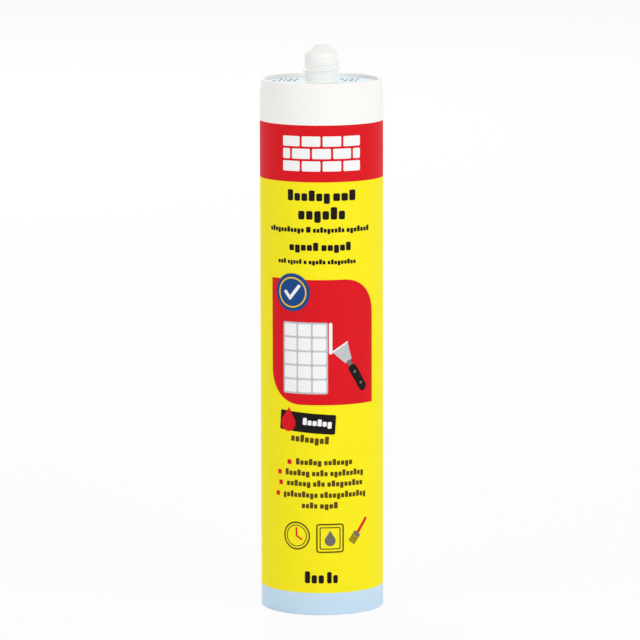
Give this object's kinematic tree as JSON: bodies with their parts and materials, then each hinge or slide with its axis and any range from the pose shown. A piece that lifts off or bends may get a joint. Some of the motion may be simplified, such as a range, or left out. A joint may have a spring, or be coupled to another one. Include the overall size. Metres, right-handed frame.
{
  "type": "caulk tube",
  "caption": "Full sealant cartridge standing on its open rear rim: printed plastic barrel, head with a closed threaded neck, and a sliding piston behind the paste.",
  "frame": {"origin": "centre of the rear rim, on the cartridge's axis, at the level it stands on", "axes": "+Z along the axis from the rear rim to the tip, -Y towards the printed front, +X to the front's right"},
  "size_m": [0.05, 0.05, 0.2306],
  "materials": {
    "cartridge": "glossy print on white moulded polyethylene",
    "paste": "smooth white paste",
    "piston_plastic": "satin natural polyethylene"
  },
  "bodies": {
    "cartridge": {"cartridge_body": "cartridge", "sealant": "paste"},
    "piston": {"piston": "piston_plastic"}
  },
  "joints": [
    {"name": "piston_slide", "type": "slide", "parent": "cartridge", "child": "piston", "axis": [0, 0, 1], "range_m": [0, 0.16], "deforming": ["sealant"]}
  ]
}
